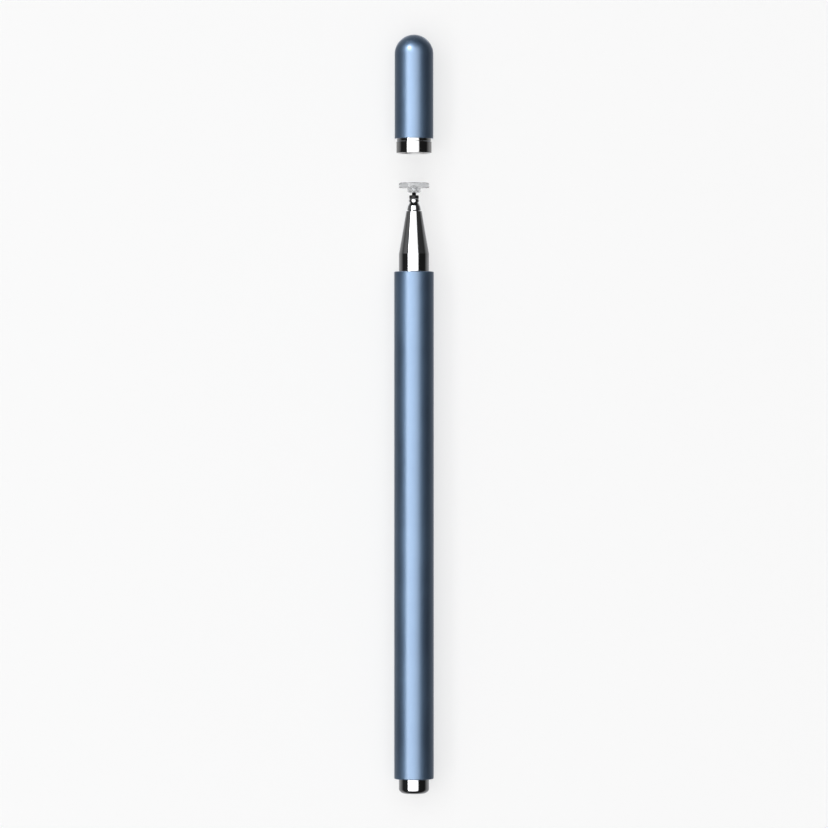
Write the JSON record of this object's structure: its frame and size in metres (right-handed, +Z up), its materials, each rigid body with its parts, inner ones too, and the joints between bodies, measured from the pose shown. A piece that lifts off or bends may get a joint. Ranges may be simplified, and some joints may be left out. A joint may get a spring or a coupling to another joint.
{
  "type": "stylus pen",
  "caption": "Slim metal touchscreen stylus with a clear tilting disc tip on a ball joint, a conical nose, a plugged tail and a pull-off cap with a round end.",
  "frame": {"origin": "on the table under the pen's axis, midway along the row of pen and cap", "axes": "+X along the pen towards the tip and the cap, +Z up from the table"},
  "size_m": [0.172, 0.009, 0.009],
  "materials": {
    "blue_anodised": "satin blue anodised",
    "collar_steel": "polished steel",
    "chrome": "polished chrome plate",
    "stud_steel": "polished steel",
    "black_sleeve": "satin black",
    "clear_plastic": "clear moulded",
    "brass": "turned",
    "magnet": "nickel plated"
  },
  "bodies": {
    "pen": {"barrel": "blue_anodised", "front_bush": "brass", "front_magnet": "magnet", "nose_cone": "chrome", "nib_base": "chrome", "tail_plug": "chrome", "tail_magnet": "magnet"},
    "stud": {"ball_stud": "stud_steel", "neck_sleeve": "black_sleeve"},
    "disc": {"tip_disc": "clear_plastic"},
    "cap": {"cap_shell": "blue_anodised", "cap_collar": "collar_steel"}
  },
  "joints": [
    {"name": "cap_slide", "type": "slide", "parent": "pen", "child": "cap", "axis": [1, 0, 0], "range_m": [-0.02676, 0.005]},
    {"name": "tip_swivel", "type": "hinge", "parent": "pen", "child": "stud", "pos_m": [0.05099, 0, 0.0045], "axis": [1, 0, 0], "continuous": true},
    {"name": "disc_tilt", "type": "hinge", "parent": "stud", "child": "disc", "pos_m": [0.05099, 0, 0.0045], "axis": [0, 0, 1], "range_deg": [-30, 30]}
  ]
}
